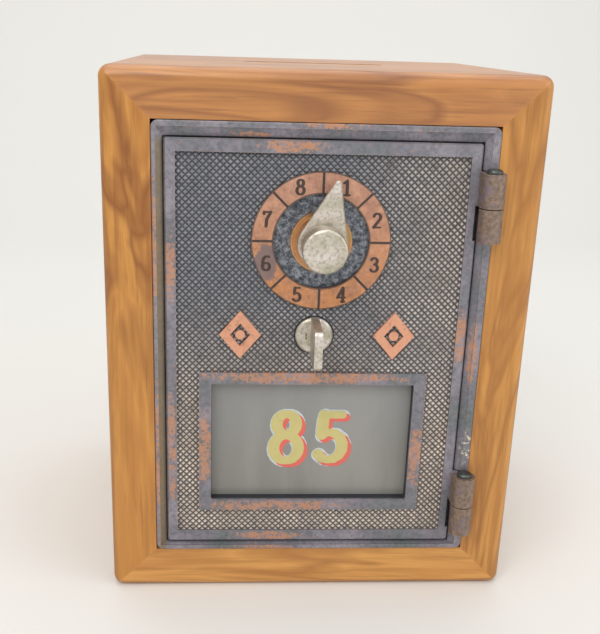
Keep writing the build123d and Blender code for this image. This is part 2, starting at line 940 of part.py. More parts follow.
with BuildPart() as lock_cover:
    block(
        (lock_left, lock_right), (lock_back, lock_back + cover_thickness), (lock_bottom, lock_top)
    )
    fillet(lock_cover.edges().filter_by(Axis.Y), radius=lock_corner)
    for x, z in cover_screw_spots:
        rod(
            x,
            z,
            small_screw_radius + pin_clearance,
            (lock_back - 1, lock_back + cover_thickness + 1),
            mode=Mode.SUBTRACT,
        )
save(lock_cover, "lock_cover")
save(small_screws(cover_screw_spots, lock_back + cover_thickness, cover_screw_length), "cover_screws")

# ==== wheel pack ====


def wheel_blank(front, gate_angle, bore):
    """Disc with a gate in its rim and a bore on the dial's axis."""
    rod(dial_x, dial_z, wheel_radius, (front, front + wheel_thickness))
    rod(dial_x, dial_z, bore, (front - 1, front + wheel_thickness + 1), mode=Mode.SUBTRACT)
    gate_x, gate_z = around_dial(wheel_radius, gate_angle)
    with Locations(Location((gate_x, front + wheel_thickness / 2, gate_z), (0, -gate_angle, 0))):
        Box(2 * gate_depth, wheel_thickness + 2, gate_width, mode=Mode.SUBTRACT)


def drive_pin(angle, start, direction):
    """Short pin on a wheel's face, towards the next wheel."""
    x, z = around_dial(drive_pin_orbit, angle)
    end = start + direction * drive_pin_length
    rod(x, z, drive_pin_radius, (min(start, end), max(start, end)))


pin_angles = (120.0, 235.0)
for i, wheel_name in enumerate(("tumbler_wheel_front", "tumbler_wheel_rear")):
    with BuildPart() as tumbler:
        wheel_blank(wheel_fronts[i], gate_angles[i], post_radius + running_clearance)
        drive_pin(pin_angles[i], wheel_fronts[i] + wheel_thickness, 1)
        if i == 1:
            drive_pin(pin_angles[0] + drive_pin_lag, wheel_fronts[1], -1)
    save(tumbler, wheel_name)

with BuildPart() as drive_wheel:
    wheel_blank(wheel_fronts[2], gate_angles[2], spindle_radius)
    drive_pin(pin_angles[1] + drive_pin_lag, wheel_fronts[2], -1)
save(drive_wheel, "drive_wheel")

with BuildPart() as wheel_spacer:
    spacer_front = wheel_fronts[0] + wheel_thickness + (wheel_gap - spacer_thickness) / 2
    spacer_span = (spacer_front, spacer_front + spacer_thickness)
    rod(dial_x, dial_z, spacer_radius, spacer_span)
    rod(dial_x, dial_z, post_radius, spacer_span, mode=Mode.SUBTRACT)
save(wheel_spacer, "wheel_spacer")

with BuildPart() as retaining_clip:
    clip_front = wheel_fronts[1] + wheel_thickness + 2 * running_clearance
    with BuildSketch(facing(clip_front)):
        with Locations((dial_x, dial_z)):
            Circle(clip_radius)
            Circle(post_radius, mode=Mode.SUBTRACT)
        with Locations((dial_x, dial_z - clip_radius)):
            Rectangle(clip_opening, clip_radius, mode=Mode.SUBTRACT)
    extrude(amount=-clip_thickness)
save(retaining_clip, "retaining_clip")

with BuildPart() as spindle_nut:
    nut_front = wheel_fronts[2] + wheel_thickness
    with BuildSketch(facing(nut_front)):
        with Locations((dial_x, dial_z)):
            RegularPolygon(spindle_nut_radius, 6)
            Circle(spindle_radius, mode=Mode.SUBTRACT)
    extrude(amount=-spindle_nut_thickness)
save(spindle_nut, "spindle_nut")

# ==== fence lever, its pivot and the bolt's leaf spring ====
with BuildPart() as lever_pivot:
    rod(pivot_x, pivot_z, pivot_radius, (door_back + 0.1, lever_back + 0.5))
    rod(
        pivot_x,
        pivot_z,
        pivot_radius + 0.9,
        (base_back, lever_back - lever_hub_height - 0.1),
    )
save(lever_pivot, "lever_pivot")

with BuildPart() as fence_lever:
    with BuildSketch(facing(lever_front)):
        with BuildLine():
            Polyline((fence_x, fence_z), (pivot_x, pivot_z), (dog_x, dog_z))
        trace(line_width=lever_arm_width)
        with Locations((fence_x, fence_z), (dog_x, dog_z)):
            Circle(lever_arm_width / 2)
        with Locations((pivot_x, pivot_z)):
            Circle(lever_hub_radius)
    extrude(amount=-lever_thickness)
    rod(pivot_x, pivot_z, lever_hub_radius, (lever_back - lever_hub_height, lever_back))
    with Locations(
        Location(
            (fence_x, (wheel_fronts[0] - 0.2 + lever_front) / 2, fence_z), (0, -fence_angle, 0)
        )
    ):
        Box(fence_size, lever_front - wheel_fronts[0] + 0.2, fence_size)
    block(
        (dog_x - dog_width / 2, dog_x + dog_width / 2),
        (bolt_front, lever_back),
        (dog_z - dog_height / 2, dog_z + dog_height / 2),
    )
    rod(
        pivot_x,
        pivot_z,
        pivot_radius + running_clearance,
        (lever_front - 5, lever_back + 1),
        mode=Mode.SUBTRACT,
    )
save(fence_lever, "fence_lever")

with BuildPart() as bolt_spring:
    lug_middle = lug_left + lug_width / 2
    with BuildSketch(facing(bolt_front)):
        with BuildLine():
            FilletPolyline(
                (lug_middle, lug_bottom + lug_height - 0.3),
                (lug_middle, lug_bottom - 1.2),
                (spring_x, lug_bottom - 5.2),
                (spring_x, latch_z - bolt_height / 2),
                radius=1.5,
            )
        trace(line_width=spring_thickness)
    extrude(amount=-spring_width)
save(bolt_spring, "bolt_spring")
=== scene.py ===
import json
import math
import random

import bmesh
import bpy
from mathutils import Matrix, Vector


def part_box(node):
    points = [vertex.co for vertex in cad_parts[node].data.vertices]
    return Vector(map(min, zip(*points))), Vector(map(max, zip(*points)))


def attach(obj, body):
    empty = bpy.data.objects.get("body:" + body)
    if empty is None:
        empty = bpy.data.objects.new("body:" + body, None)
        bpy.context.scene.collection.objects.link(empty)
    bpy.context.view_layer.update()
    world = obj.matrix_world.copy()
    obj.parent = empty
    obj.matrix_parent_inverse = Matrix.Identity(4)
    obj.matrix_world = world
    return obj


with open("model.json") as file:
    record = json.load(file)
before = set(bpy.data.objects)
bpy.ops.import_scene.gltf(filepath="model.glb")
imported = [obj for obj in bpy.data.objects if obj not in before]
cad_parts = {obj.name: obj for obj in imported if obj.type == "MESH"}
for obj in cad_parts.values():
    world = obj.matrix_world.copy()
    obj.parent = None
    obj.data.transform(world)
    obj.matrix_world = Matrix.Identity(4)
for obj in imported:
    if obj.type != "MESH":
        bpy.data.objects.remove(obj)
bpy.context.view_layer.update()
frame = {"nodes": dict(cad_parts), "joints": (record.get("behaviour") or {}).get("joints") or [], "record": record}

# Looks of a small wooden box round a cast lock-box door. Metres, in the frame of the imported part:
# X to the right of someone facing the door, Y into the box, Z up.

random.seed(7)
MM = 0.001

# ---- driving dimensions that the node boxes don't give, as in part.py ----
door_thickness = 3.2 * MM
field_depth = 1.1 * MM
door_rim_side = 2.8 * MM
door_rim_end = 3.4 * MM
ring_outer = 18.3 * MM
ring_inner = 12.6 * MM
glass_overlap = 2.2 * MM
bezel_border = 3.3 * MM
ornament_spread = 20.8 * MM
ornament_width = 11.2 * MM
ornament_height = 13.4 * MM
rim_left = 1.05 * MM  # flat outer rim of the frame, on each side of the door
rim_right = 2.05 * MM
bevel_side = 1.6 * MM  # slope between the frame's rim and its opening

# ---- places worked out from the frame ----
joints = {j["name"]: j for j in frame["joints"]}
dial_x, _, dial_z = joints["dial_turn"]["pos_m"]
latch_x, _, latch_z = joints["latch_turn"]["pos_m"]
door_low, door_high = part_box("door_plate")
door_left = door_low.x
door_right = 2 * dial_x - door_left
door_bottom, door_top = door_low.z, door_high.z
door_front = door_high.y - door_thickness
field_floor = door_front + field_depth
field_left, field_right = door_left + door_rim_side, door_right - door_rim_side
field_bottom, field_top = door_bottom + door_rim_end, door_top - door_rim_end
glass_low, glass_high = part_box("window_glass")
glass_front = glass_low.y
window_left, window_right = glass_low.x + glass_overlap, glass_high.x - glass_overlap
window_bottom, window_top = glass_low.z + glass_overlap, glass_high.z - glass_overlap
bezel_left, bezel_right = window_left - bezel_border, window_right + bezel_border
bezel_bottom, bezel_top = window_bottom - bezel_border, window_top + bezel_border
frame_low, frame_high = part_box("door_frame")
frame_left, frame_bottom, frame_top = frame_low.x, frame_low.z, frame_high.z
frame_right = -frame_left
case_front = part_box("left_board")[0].y
turn_radius = (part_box("thumb_turn")[1].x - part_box("thumb_turn")[0].x) / 2


# ==== node helpers ====


def srgb(r, g, b):
    """Linear RGBA of a colour given in 0-255 sRGB."""
    def linear(v):
        v /= 255
        return v / 12.92 if v <= 0.04045 else ((v + 0.055) / 1.055) ** 2.4
    return linear(r), linear(g), linear(b), 1.0


class Nodes:
    """A material's node tree with short makers for the nodes used here."""

    def __init__(self, name):
        self.material = bpy.data.materials.new(name)
        self.material.use_nodes = True
        self.tree = self.material.node_tree
        self.tree.nodes.clear()
        self.out = self.tree.nodes.new("ShaderNodeOutputMaterial")
        self.coords = self.tree.nodes.new("ShaderNodeTexCoord").outputs["Object"]
        self.parts = None

    def put(self, socket, value):
        """Links a socket's output or sets a plain value."""
        if isinstance(value, bpy.types.NodeSocket):
            self.tree.links.new(value, socket)
        else:
            socket.default_value = value

    def math(self, op, a, b=0.0):
        n = self.tree.nodes.new("ShaderNodeMath")
        n.operation = op
        for socket, value in zip(n.inputs, (a, b)):
            self.put(socket, value)
        return n.outputs[0]

    def axis(self, name):
        """X, Y or Z of the point in the part's frame."""
        if self.parts is None:
            n = self.tree.nodes.new("ShaderNodeSeparateXYZ")
            self.put(n.inputs[0], self.coords)
            self.parts = {k: n.outputs[k] for k in "XYZ"}
        return self.parts[name]

    def scaled(self, x, y, z, source=None):
        """Coordinates squeezed along the axes whose factor is under 1, which draws a noise out."""
        n = self.tree.nodes.new("ShaderNodeMapping")
        self.put(n.inputs["Vector"], source or self.coords)
        n.inputs["Scale"].default_value = (x, y, z)
        return n.outputs[0]

    def noise(self, scale, detail, rough=0.55, vector=None, warp=0.0):
        n = self.tree.nodes.new("ShaderNodeTexNoise")
        self.put(n.inputs["Vector"], vector or self.coords)
        n.inputs["Scale"].default_value = scale
        n.inputs["Detail"].default_value = detail
        n.inputs["Roughness"].default_value = rough
        n.inputs["Distortion"].default_value = warp
        return n.outputs["Fac"]

    def step(self, value, low, high, to_low=0.0, to_high=1.0):
        """Smooth step from to_low at low to to_high at high. Low may be the larger of the two."""
        n = self.tree.nodes.new("ShaderNodeMapRange")
        n.interpolation_type = "SMOOTHSTEP"
        for key, v in (("Value", value), ("From Min", low), ("From Max", high),
                       ("To Min", to_low), ("To Max", to_high)):
            self.put(n.inputs[key], v)
        return n.outputs[0]

    def ramp(self, value, *stops):
        """Colour ramp through (place, colour) stops."""
        n = self.tree.nodes.new("ShaderNodeValToRGB")
        self.put(n.inputs[0], value)
        elements = n.color_ramp.elements
        while len(elements) < len(stops):
            elements.new(0.5)
        for e, (place, colour) in zip(elements, stops):
            e.position = place
            e.color = colour
        return n.outputs[0]

    def mix(self, factor, a, b):
        """Colour a at factor 0 to colour b at factor 1."""
        n = self.tree.nodes.new("ShaderNodeMix")
        n.data_type = "RGBA"
        self.put(n.inputs[0], factor)
        self.put(n.inputs[6], a)
        self.put(n.inputs[7], b)
        return n.outputs[2]

    def edges(self, radius):
        """0 on flats to 1 on edges, from how far a rounded normal leans off the plain one."""
        flat_cosine, edge_cosine = 0.995, 0.80
        bevel = self.tree.nodes.new("ShaderNodeBevel")
        bevel.samples = 4
        bevel.inputs["Radius"].default_value = radius
        plain = self.tree.nodes.new("ShaderNodeNewGeometry").outputs["Normal"]
        dot = self.tree.nodes.new("ShaderNodeVectorMath")
        dot.operation = "DOT_PRODUCT"
        self.put(dot.inputs[0], bevel.outputs[0])
        self.put(dot.inputs[1], plain)
        return self.step(dot.outputs["Value"], flat_cosine, edge_cosine)

    def patch(self, x, z, half_x, half_z):
        """1 inside a soft ellipse in the XZ plane to 0 outside it."""
        dx = self.math("DIVIDE", self.math("SUBTRACT", self.axis("X"), x), half_x)
        dz = self.math("DIVIDE", self.math("SUBTRACT", self.axis("Z"), z), half_z)
        outside, inside = 1.9, 0.1
        return self.step(self.sum_of_squares(dx, dz), outside, inside)

    def sum_of_squares(self, a, b):
        return self.math("ADD", self.math("MULTIPLY", a, a), self.math("MULTIPLY", b, b))

    def radius_from(self, x, z):
        """Distance from an axis along Y."""
        dx = self.math("SUBTRACT", self.axis("X"), x)
        dz = self.math("SUBTRACT", self.axis("Z"), z)
        return self.math("SQRT", self.sum_of_squares(dx, dz))

    def span_from(self, axis, middle, half):
        """Distance from a middle along one axis, in half widths."""
        offset = self.math("ABSOLUTE", self.math("SUBTRACT", self.axis(axis), middle))
        return self.math("DIVIDE", offset, half)

    def between(self, value, low, high):
        """1 from low to high, 0 outside, with soft limits."""
        soft = 0.1 * MM
        rise = self.step(value, low - soft, low + soft)
        fall = self.step(value, high + soft, high - soft)
        return self.math("MULTIPLY", rise, fall)

    def scuffed(self, mask, noise, spread):
        """A mask with its limits roughened by a noise centred on 0.5."""
        return self.math("ADD", mask, self.math("MULTIPLY", self.math("SUBTRACT", noise, 0.5), spread))

    def most(self, *values):
        total = values[0]
        for v in values[1:]:
            total = self.math("MAXIMUM", total, v)
        return total

    def bump(self, height, distance, strength=0.5):
        n = self.tree.nodes.new("ShaderNodeBump")
        n.inputs["Strength"].default_value = strength
        n.inputs["Distance"].default_value = distance
        self.put(n.inputs["Height"], height)
        return n.outputs[0]

    def finish(self, colour, roughness, metallic, normal=None, **sockets):
        """Principled surface on the output. Other sockets go by name, with _ for a space."""
        n = self.tree.nodes.new("ShaderNodeBsdfPrincipled")
        self.put(n.inputs["Base Color"], colour)
        self.put(n.inputs["Roughness"], roughness)
        self.put(n.inputs["Metallic"], metallic)
        if normal is not None:
            self.put(n.inputs["Normal"], normal)
        for name, value in sockets.items():
            self.put(n.inputs[name.replace("_", " ")], value)
        self.tree.links.new(n.outputs[0], self.out.inputs["Surface"])
        return self.material


# ==== materials ====
# Lengths are in metres, so noise scales are waves per metre: 60 drifts over centimetres, 900 over
# a millimetre. A noise stays mostly between 0.3 and 0.7, which is why steps and ramps lie there.

COPPER_PINK = srgb(192, 146, 124)
COPPER_ORANGE = srgb(196, 136, 90)
SLATE = srgb(134, 131, 140)
LILAC = srgb(158, 152, 162)
SLATE_DARK = srgb(70, 74, 80)
SLATE_GREEN = srgb(116, 123, 124)
BRASSY = srgb(150, 130, 95)
CREAM = srgb(226, 214, 190)


def patina_colour(n, patches):
    """Slate patina with lilac and green drifts, copper where it has worn through, and its fine noise."""
    broad = n.noise(60, 4, 0.6)
    fine = n.noise(900, 4, 0.65)
    colour = n.ramp(broad, (0.32, SLATE_GREEN), (0.5, SLATE), (0.66, LILAC))
    colour = n.mix(n.step(fine, 0.35, 0.75, 0.0, 0.45), colour, SLATE_DARK)
    torn = n.noise(420, 5, 0.7)
    masks = [n.patch(*p) for p in patches]
    scattered = n.step(n.noise(45, 3, 0.6, n.scaled(1.0, 1.0, 0.6)), 0.64, 0.72)
    bare = n.most(scattered, *masks)
    specks = n.noise(1300, 3, 0.6)
    ragged = n.math("ADD", n.math("SUBTRACT", torn, 0.5), n.math("SUBTRACT", specks, 0.5))
    bare = n.step(n.math("ADD", bare, n.math("MULTIPLY", ragged, 3.0)), 0.5, 1.15, 0.0, 0.85)
    edge = n.math("MULTIPLY", n.edges(0.35 * MM), n.step(n.noise(160, 3, 0.6), 0.4, 0.62))
    edge_wear = 0.5
    bare = n.most(bare, n.math("MULTIPLY", edge, edge_wear))
    copper = n.mix(n.noise(260, 3), COPPER_PINK, COPPER_ORANGE)
    return n.mix(bare, colour, copper), fine


def cast_finish(n, colour, fine, metallic):
    """Pitted cast surface shared by the frame and the door."""
    height = n.math("ADD", fine, n.math("MULTIPLY", n.noise(350, 3), 1.5))
    return n.finish(colour, n.step(fine, 0.3, 0.7, 0.42, 0.62), metallic, n.bump(height, 0.05 * MM))


def hinge_tone(n, colour, fine):
    """Olive brown on the hinge knuckles, which alone stand in front of the frame's face."""
    start, full = case_front - 0.7 * MM, case_front - 1.0 * MM
    mask = n.step(n.axis("Y"), start, full)
    olive = n.mix(n.step(fine, 0.35, 0.65), srgb(112, 98, 84), srgb(150, 126, 112))
    olive = n.mix(n.step(n.noise(260, 4, 0.6), 0.52, 0.66, 0.0, 0.7), olive, srgb(122, 112, 128))
    return n.mix(mask, colour, olive)


def frame_patches():
    """Worn places on the frame, as centre and half sizes in X and Z."""
    left_rim, right_rim = frame_left + rim_left / 2, frame_right - rim_right
    return [
        (2 * MM, frame_top, 8 * MM, 1.5 * MM),
        (-19 * MM, frame_top - 3.2 * MM, 6 * MM, 0.6 * MM),
        (left_rim, 102 * MM, 1.0 * MM, 17 * MM),
        (left_rim + 0.4 * MM, 41 * MM, 1.4 * MM, 24 * MM),
        (-14 * MM, frame_bottom, 11 * MM, 1.6 * MM),
        (right_rim, 74 * MM, 1.3 * MM, 9 * MM),
        (right_rim, 118 * MM, 1.0 * MM, 5 * MM),
    ]


def door_patches():
    """Worn places on the door's rim and bezel, as centre and half sizes in X and Z."""
    left_rim, right_rim = door_left + door_rim_side / 2, door_right - door_rim_side / 2
    return [
        (-9 * MM, door_top - door_rim_end / 2, 9 * MM, 1.7 * MM),
        (left_rim, 96 * MM, 1.4 * MM, 9 * MM),
        (left_rim, 46 * MM, 1.2 * MM, 17 * MM),
        (right_rim, 78 * MM, 1.6 * MM, 8 * MM),
        (-12 * MM, door_bottom + door_rim_end / 2, 10 * MM, 1.4 * MM),
        (-4 * MM, bezel_top - 1.2 * MM, 29 * MM, 1.9 * MM),
        (bezel_left + 1.4 * MM, 45 * MM, 2.0 * MM, 12 * MM),
        (bezel_right - 1.4 * MM, 42 * MM, 2.0 * MM, 10 * MM),
        (-11 * MM, bezel_bottom + 1.3 * MM, 20 * MM, 1.8 * MM),
    ]


def patinated_frame():
    """Patina with a brassy painted reflection on the left bevel, flaked pale paint at the lower right and olive
    hinges.
    """
    n = Nodes("patinated_frame")
    colour, fine = patina_colour(n, frame_patches())
    # painted reflection: the left bevel, below the top corner, is coloured brassy where it catches the light
    bevel_left = frame_left + rim_left
    bevel_reflection = n.between(n.axis("X"), bevel_left, bevel_left + bevel_side)
    below_corner = n.step(n.axis("Z"), frame_top - 3 * MM, frame_top - 6 * MM)
    bevel_reflection = n.math("MULTIPLY", bevel_reflection, below_corner)
    brassy = n.mix(n.noise(300, 4), BRASSY, srgb(118, 108, 88))
    colour = n.mix(n.math("MULTIPLY", bevel_reflection, 0.8), colour, brassy)
    chips = n.patch(frame_right - 1.2 * MM, 45 * MM, 1.6 * MM, 5 * MM)
    chips = n.math("MULTIPLY", chips, n.step(n.noise(700, 2, 0.5), 0.55, 0.62))
    colour = n.mix(chips, colour, CREAM)
    colour = hinge_tone(n, colour, fine)
    # painted highlight: a pale colour laid along the frame's edges
    ridge_highlight = n.edges(0.22 * MM)
    colour = n.mix(n.math("MULTIPLY", ridge_highlight, 0.35), colour, srgb(178, 172, 165))
    return cast_finish(n, colour, fine, 0.55)


def ring_metal(n, from_dial, streaks, mottle):
    """Copper of the number ring, stained at the lower left and darkened along its two edges."""
    height_on_dial = n.step(n.axis("Z"), dial_z - ring_outer, dial_z + ring_outer)
    copper = n.mix(height_on_dial, COPPER_ORANGE, COPPER_PINK)
    copper = n.mix(n.step(streaks, 0.42, 0.62, 0.0, 0.7), copper, srgb(168, 124, 104))
    copper = n.mix(n.step(mottle, 0.52, 0.68, 0.0, 0.5), copper, srgb(224, 172, 142))
    copper = n.mix(n.step(mottle, 0.46, 0.34, 0.0, 0.45), copper, srgb(122, 92, 80))
    stain = n.patch(dial_x - 14.4 * MM, dial_z - 6.2 * MM, 3.4 * MM, 5.2 * MM)
    stain = n.step(n.scuffed(stain, streaks, 1.6), 0.45, 0.8)
    copper = n.mix(n.math("MULTIPLY", stain, 0.8), copper, srgb(120, 108, 112))
    outline = n.most(
        n.between(from_dial, ring_inner - 0.2 * MM, ring_inner + 0.32 * MM),
        n.between(from_dial, ring_outer - 0.28 * MM, ring_outer + 0.2 * MM),
    )
    return n.mix(n.math("MULTIPLY", outline, 0.8), copper, srgb(72, 60, 56))


def patinated_door():
    """Rim and bezel in slate, ring and raised lozenges in copper, field floor and deeper faces nearly black as
    painted shade.
    """
    n = Nodes("patinated_door")
    colour, fine = patina_colour(n, door_patches())
    streaks = n.noise(300, 5, 0.65)
    mottle = n.noise(700, 6, 0.75)
    proud = n.step(n.axis("Y"), field_floor - 0.15 * MM, field_floor - 0.35 * MM)
    from_dial = n.radius_from(dial_x, dial_z)
    on_ring = n.between(from_dial, ring_inner - 0.1 * MM, ring_outer + 0.1 * MM)
    ring_copper = ring_metal(n, from_dial, streaks, mottle)
    colour = n.mix(n.math("MULTIPLY", on_ring, proud), colour, ring_copper)
    for side in (-1, 1):
        span_x = n.span_from("X", dial_x + side * ornament_spread, ornament_width / 2)
        span_z = n.span_from("Z", latch_z, ornament_height / 2)
        inside = n.step(n.math("ADD", span_x, span_z), 1.04, 1.0)
        worn = n.mix(n.step(streaks, 0.45, 0.8, 0.0, 0.6), srgb(220, 162, 132), srgb(186, 122, 92))
        worn = n.mix(n.step(mottle, 0.46, 0.36, 0.0, 0.5), worn, srgb(140, 100, 84))
        colour = n.mix(n.math("MULTIPLY", inside, proud), colour, worn)
    colour = hinge_tone(n, colour, fine)
    # painted shade: the field floor and every face deeper than it, such as the window's walls, are coloured nearly
    # black
    sunk_shade = n.math("SUBTRACT", 1.0, proud)
    colour = n.mix(sunk_shade, colour, n.mix(fine, srgb(38, 42, 48), srgb(74, 78, 84)))
    # painted highlight: a pale colour laid along the door's raised edges
    lines = n.math("MULTIPLY", n.edges(0.2 * MM), proud)
    colour = n.mix(n.math("MULTIPLY", lines, 0.3), colour, srgb(190, 178, 168))
    return cast_finish(n, colour, fine, 0.5)


def knurled_metal():
    """Pyramids: black pits, slate flanks, tips worn bright, browner low on the door."""
    n = Nodes("knurled_metal")
    tip = n.step(n.axis("Y"), field_floor - 0.1 * MM, field_floor - 0.58 * MM)
    low = n.step(n.axis("Z"), 95 * MM, 45 * MM)
    side = n.step(n.axis("X"), 0.0, field_right)
    warm = n.math("MAXIMUM", low, n.math("MULTIPLY", side, 0.6))
    flank = n.mix(warm, srgb(134, 134, 139), srgb(182, 166, 152))
    worn = n.mix(warm, srgb(162, 160, 163), srgb(236, 222, 206))
    drift = n.noise(130, 4, 0.6)
    colour = n.mix(n.step(tip, 0.0, 0.4), srgb(84, 87, 92), flank)
    bright = n.math("MULTIPLY", n.step(tip, 0.6, 1.0), n.step(drift, 0.35, 0.65))
    colour = n.mix(bright, colour, worn)
    colour = n.mix(n.step(n.noise(520, 4, 0.7), 0.45, 0.7, 0.0, 0.6), colour, srgb(82, 84, 92))
    return n.finish(colour, 0.5, 0.35, n.bump(n.noise(2200, 3), 0.04 * MM))


def dial_floor_metal():
    """Coarsely pitted blue grey."""
    n = Nodes("dial_floor_metal")
    pits = n.noise(900, 4, 0.75)
    pit, middle, top = srgb(48, 52, 60), srgb(96, 101, 110), srgb(148, 151, 158)
    colour = n.ramp(pits, (0.34, pit), (0.5, middle), (0.62, top))
    return n.finish(colour, 0.55, 0.4, n.bump(pits, 0.12 * MM, 0.7))


def ink_metal():
    """Dark, partly faded lines and numerals of the ring."""
    n = Nodes("ink_metal")
    fade = n.noise(800, 4)
    colour = n.mix(fade, srgb(38, 32, 34), srgb(92, 72, 64))
    return n.finish(colour, 0.6, 0.2, n.bump(fade, 0.03 * MM))


def worn_copper():
    """Turned copper of the dial collar, with painted highlights along its tool rings."""
    n = Nodes("worn_copper")
    fine = n.noise(900, 4)
    broad = n.noise(200, 4)
    red, plain, olive = srgb(176, 116, 82), srgb(190, 136, 94), srgb(168, 138, 92)
    colour = n.ramp(broad, (0.3, red), (0.5, plain), (0.7, olive))
    # painted highlight: bright bands following the tool rings round the dial
    radians_per_metre = 9000.0
    rings = n.math("SINE", n.math("MULTIPLY", n.radius_from(dial_x, dial_z), radians_per_metre))
    colour = n.mix(n.step(rings, 0.3, 1.0, 0.0, 0.35), colour, srgb(222, 196, 130))
    colour = n.mix(n.math("MULTIPLY", n.step(fine, 0.5, 0.75), 0.6), colour, srgb(120, 86, 66))
    return n.finish(colour, 0.38, 0.8, n.bump(fine, 0.03 * MM))


def nickel():
    """Worn nickel plate: yellowish drifts, grey pits and painted highlights on its edges."""
    n = Nodes("nickel")
    fine = n.noise(1200, 5, 0.7)
    broad = n.noise(180, 3)
    yellow, plain, pale = srgb(178, 172, 152), srgb(204, 196, 182), srgb(222, 212, 206)
    colour = n.ramp(broad, (0.35, yellow), (0.5, plain), (0.65, pale))
    colour = n.mix(n.step(fine, 0.47, 0.62, 0.0, 0.6), colour, srgb(146, 138, 128))
    # painted highlight: a pale colour laid along the edges
    colour = n.mix(n.math("MULTIPLY", n.edges(0.3 * MM), 0.5), colour, srgb(236, 230, 214))
    return n.finish(colour, n.step(fine, 0.3, 0.7, 0.3, 0.5), 0.75, n.bump(fine, 0.05 * MM, 0.6))


def metal(name, light, dark, scale, rough=(0.3, 0.5), metallic=0.85, depth=0.03 * MM):
    """Plain metal with tarnish, painted highlights on its edges and fine bump."""
    n = Nodes(name)
    fine = n.noise(scale, 4, 0.65)
    broad = n.noise(90, 3)
    colour = n.mix(n.step(broad, 0.35, 0.7), light, dark)
    colour = n.mix(n.step(fine, 0.45, 0.8, 0.0, 0.5), colour, dark)
    # painted highlight: a lighter copy of the metal's colour laid along its edges
    bright = tuple(min(1.0, c * 1.5) for c in light[:3]) + (1.0,)
    colour = n.mix(n.math("MULTIPLY", n.edges(0.25 * MM), 0.4), colour, bright)
    return n.finish(colour, n.step(fine, 0.3, 0.7, *rough), metallic, n.bump(fine, depth))


def wood(name, along, light, dark, line, seed, coat=0.12):
    """Oiled hardwood with grain along one axis: long fibres, pores, slow colour drift and painted highlights on
    rounded edges.
    """
    n = Nodes(name)
    shift = n.tree.nodes.new("ShaderNodeVectorMath")
    shift.operation = "ADD"
    n.put(shift.inputs[0], n.coords)
    shift.inputs[1].default_value = (seed * 0.31, seed * 0.17, seed * 0.23)
    base = shift.outputs[0]

    def along_grain(stretch):
        """Coordinates squeezed along the grain, so that a noise runs long that way."""
        factors = [stretch if axis == along else 1 for axis in "XYZ"]
        return n.scaled(*factors, source=base)

    fibre = n.noise(420, 5, 0.6, along_grain(0.06), 0.3)
    growth = n.noise(70, 3, 0.55, along_grain(0.14), 1.2)
    drift = n.noise(14, 2, 0.5, base)
    pores = n.noise(1500, 2, 0.5, along_grain(0.035))
    bands = [(0.32, dark), (0.42, light), (0.5, line), (0.58, light), (0.66, dark), (0.74, line)]
    colour = n.ramp(growth, *bands)
    colour = n.mix(n.step(fibre, 0.42, 0.66, 0.0, 0.6), colour, line)
    colour = n.mix(n.step(drift, 0.35, 0.7, 0.0, 0.35), colour, light)
    pore_colour = tuple(c * 0.45 for c in line[:3]) + (1.0,)
    colour = n.mix(n.step(pores, 0.6, 0.72, 0.0, 0.22), colour, pore_colour)
    # painted highlight: a brighter orange on the rounded edges
    rounded = n.edges(1.6 * MM)
    colour = n.mix(n.math("MULTIPLY", rounded, 0.3), colour, srgb(206, 138, 70))
    height = n.math("SUBTRACT", n.math("MULTIPLY", fibre, 0.6), n.step(pores, 0.6, 0.68))
    roughness = n.step(fibre, 0.3, 0.7, 0.42, 0.56)
    oil = {"Coat_Weight": coat, "Coat_Roughness": 0.3}
    return n.finish(colour, roughness, 0.0, n.bump(height, 0.06 * MM), **oil)


def hazy_glass():
    """Old glass, nearly opaque, its grey partly dust haze and partly a painted reflection that lightens towards
    the top, with upright smears.
    """
    n = Nodes("hazy_glass")
    smear = n.noise(60, 4, 0.6, n.scaled(1.0, 1.0, 0.25))
    # painted reflection: the grey of the glass, partly dust haze, lightens from the window's bottom to its top
    reflection_rise = n.step(n.axis("Z"), window_bottom, window_top)
    colour = n.mix(reflection_rise, srgb(140, 137, 131), srgb(147, 147, 145))
    colour = n.mix(n.step(smear, 0.4, 0.7, 0.0, 0.4), colour, srgb(172, 170, 166))
    roughness = n.step(smear, 0.3, 0.7, 0.14, 0.26)
    return n.finish(colour, roughness, 0.0, None, Transmission_Weight=0.12, IOR=1.5)


def old_paint(name, colour, worn):
    """Paint that fades in specks and drifts."""
    n = Nodes(name)
    fine = n.noise(500, 5, 0.7)
    mixed = n.mix(n.step(fine, 0.6, 0.72), colour, worn)
    mixed = n.mix(n.step(n.noise(120, 3), 0.4, 0.7, 0.0, 0.3), mixed, worn)
    return n.finish(mixed, 0.5, 0.0, n.bump(fine, 0.04 * MM))


# ==== mesh helpers ====


def prism(outline, back, front):
    """Closed prism along Y from an outline of (x, z) points."""
    count = len(outline)
    vertices = [(x, back, z) for x, z in outline] + [(x, front, z) for x, z in outline]
    faces = [tuple(range(count)), tuple(range(2 * count - 1, count - 1, -1))]
    faces += [(i, i + count, (i + 1) % count + count, (i + 1) % count) for i in range(count)]
    return vertices, faces


def sheet(vertices, faces):
    """Bmesh of points and faces, and the mesh it came from."""
    mesh = bpy.data.meshes.new("scratch")
    mesh.from_pydata(vertices, [], faces)
    bm = bmesh.new()
    bm.from_mesh(mesh)
    return bm, mesh


def shown(bm, mesh):
    """Object from a closed bmesh, its faces turned outwards."""
    bmesh.ops.recalc_face_normals(bm, faces=bm.faces)
    bm.to_mesh(mesh)
    bm.free()
    thing = bpy.data.objects.new("scratch", mesh)
    bpy.context.scene.collection.objects.link(thing)
    return thing


def scratch_prism(outline, back, front):
    return shown(*sheet(*prism(outline, back, front)))


